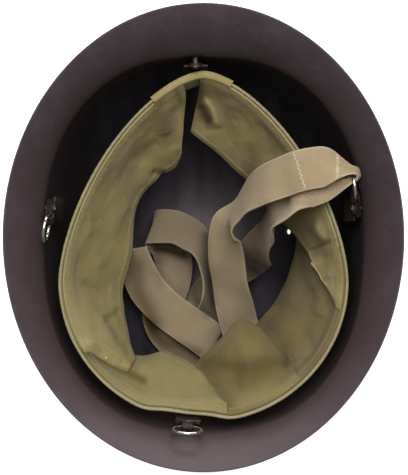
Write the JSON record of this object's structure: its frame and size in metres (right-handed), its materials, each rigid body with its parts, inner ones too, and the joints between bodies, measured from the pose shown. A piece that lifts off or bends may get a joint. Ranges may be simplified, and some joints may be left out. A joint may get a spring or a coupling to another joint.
{
  "type": "steel helmet",
  "caption": "Flared steel helmet lying on its crown, with a canvas liner on a headband, leather hangers, wire rings and a webbing chin tape.",
  "frame": {"origin": "where the crown rests, under the middle of the brim's outline", "axes": "+Z out of the opening, +Y to the front of the helmet, +X to the right of the picture"},
  "size_m": [0.239, 0.28, 0.1647],
  "materials": {
    "shell_paint": "satin dark brown paint over pressed steel",
    "canvas": "olive khaki cotton canvas",
    "stiffener_fibre": "hidden fibre strip",
    "rivet_steel": "darkened steel",
    "hanger_leather": "oiled brown leather",
    "ring_plating": "bright nickel plating",
    "webbing": "tan cotton webbing"
  },
  "bodies": {
    "helmet": {"steel_shell": "shell_paint", "headband": "canvas", "band_stiffener": "stiffener_fibre", "front_patch": "canvas", "flap_left": "canvas", "flap_right": "canvas", "flap_rear": "canvas", "front_rivet": "rivet_steel", "left_rivet": "rivet_steel", "right_rivet": "rivet_steel", "rear_rivet": "rivet_steel", "front_washer": "rivet_steel", "left_washer": "rivet_steel", "right_washer": "rivet_steel", "rear_washer": "rivet_steel", "front_hanger": "hanger_leather", "left_hanger": "hanger_leather", "right_hanger": "hanger_leather", "rear_hanger": "hanger_leather", "left_ring_loop": "hanger_leather", "right_ring_loop": "hanger_leather", "rear_ring_loop": "hanger_leather", "chin_tape": "webbing"},
    "left_ring_body": {"left_ring": "ring_plating"},
    "right_ring_body": {"right_ring": "ring_plating"},
    "rear_ring_body": {"rear_ring": "ring_plating"}
  },
  "joints": [
    {"name": "left_ring_swing", "type": "hinge", "parent": "helmet", "child": "left_ring_body", "pos_m": [-0.09347, 0.0111, 0.14036], "axis": [0.0619, 0.7044, 0.7071], "range_deg": [-3, 127]},
    {"name": "right_ring_swing", "type": "hinge", "parent": "helmet", "child": "right_ring_body", "pos_m": [0.09227, 0.02469, 0.13929], "axis": [0.0515, -0.5855, 0.809], "range_deg": [-5, 135], "deforming": ["chin_tape"]},
    {"name": "rear_ring_swing", "type": "hinge", "parent": "helmet", "child": "rear_ring_body", "pos_m": [-0.00968, -0.11501, 0.143], "axis": [-0.9989, 0.0478, 0], "range_deg": [-33, 149]}
  ]
}
